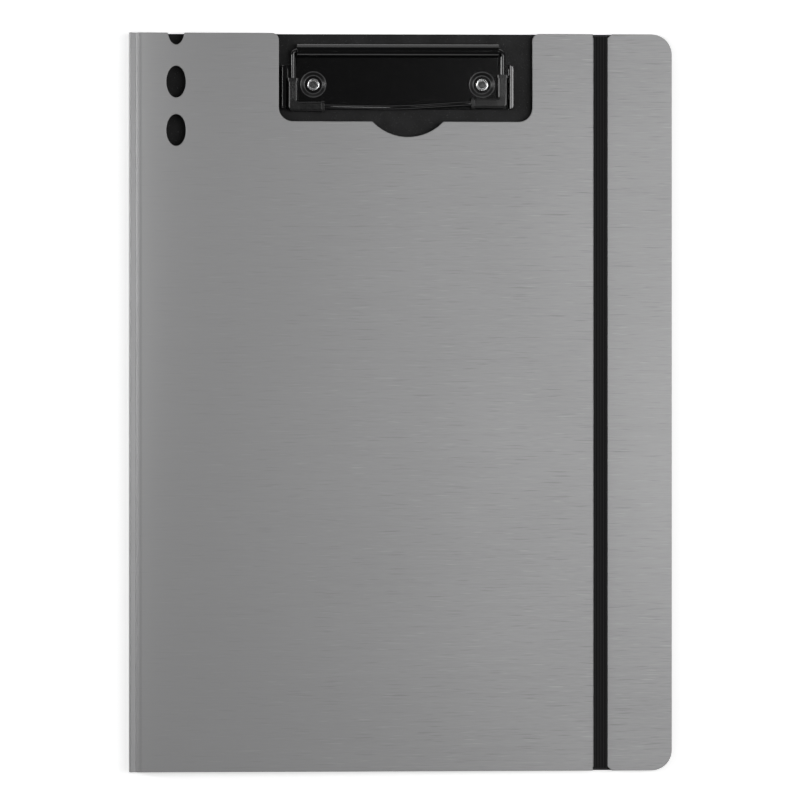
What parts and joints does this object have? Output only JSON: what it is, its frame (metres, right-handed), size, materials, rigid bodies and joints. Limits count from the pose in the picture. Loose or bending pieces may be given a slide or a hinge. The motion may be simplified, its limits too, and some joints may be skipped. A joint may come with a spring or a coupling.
{
  "type": "clipboard folder",
  "caption": "A4 clipboard folder: brushed silver cover over a black board, wire clip in a cut-out, elastic closure band.",
  "frame": {"origin": "under the middle of the closed folder, on the surface that it lies on", "axes": "+X from the spine to the fore edge, +Y to the top edge where the clip is, +Z out of the front cover"},
  "size_m": [0.232, 0.315, 0.01],
  "materials": {
    "board": "black foamed polypropylene with a fine grain",
    "brushed_skin": "silver film, brushed across",
    "clip_steel": "glossy black enamel",
    "bail_wire": "glossy black enamel",
    "rivet_metal": "nickel plated",
    "eyelet_metal": "black enamel",
    "cap_plastic": "moulded, ribbed",
    "elastic": "ribbed black elastic"
  },
  "bodies": {
    "board": {"back_board": "board", "back_skin": "brushed_skin", "clip_base_plate": "clip_steel", "clip_rivets": "rivet_metal", "band_eyelets": "eyelet_metal"},
    "spine": {"spine_board": "board", "spine_skin": "brushed_skin"},
    "cover": {"front_board": "board", "front_skin": "brushed_skin"},
    "bail": {"wire_bail": "bail_wire", "corner_cap_left": "cap_plastic", "corner_cap_right": "cap_plastic"},
    "band": {"elastic_band": "elastic"}
  },
  "joints": [
    {"name": "spine_fold", "type": "hinge", "parent": "board", "child": "spine", "pos_m": [-0.1132, 0, -0.00015], "axis": [0, -1, 0], "range_deg": [0, 180], "deforming": ["elastic_band"]},
    {"name": "cover_fold", "type": "hinge", "parent": "spine", "child": "cover", "pos_m": [-0.1132, 0, 0.01015], "axis": [0, -1, 0], "range_deg": [0, 180], "deforming": ["elastic_band"]},
    {"name": "bail_lift", "type": "hinge", "parent": "board", "child": "bail", "pos_m": [-0.00135, 0.15, 0.0057], "axis": [-1, 0, 0], "range_deg": [0, 100], "stiffness_Nm_per_rad": 0.03, "springref_deg": -45.84},
    {"name": "band_slip", "type": "slide", "parent": "board", "child": "band", "axis": [1, 0, 0], "range_m": [0, 0.04], "stiffness_N_per_m": 30, "deforming": ["elastic_band"]}
  ]
}
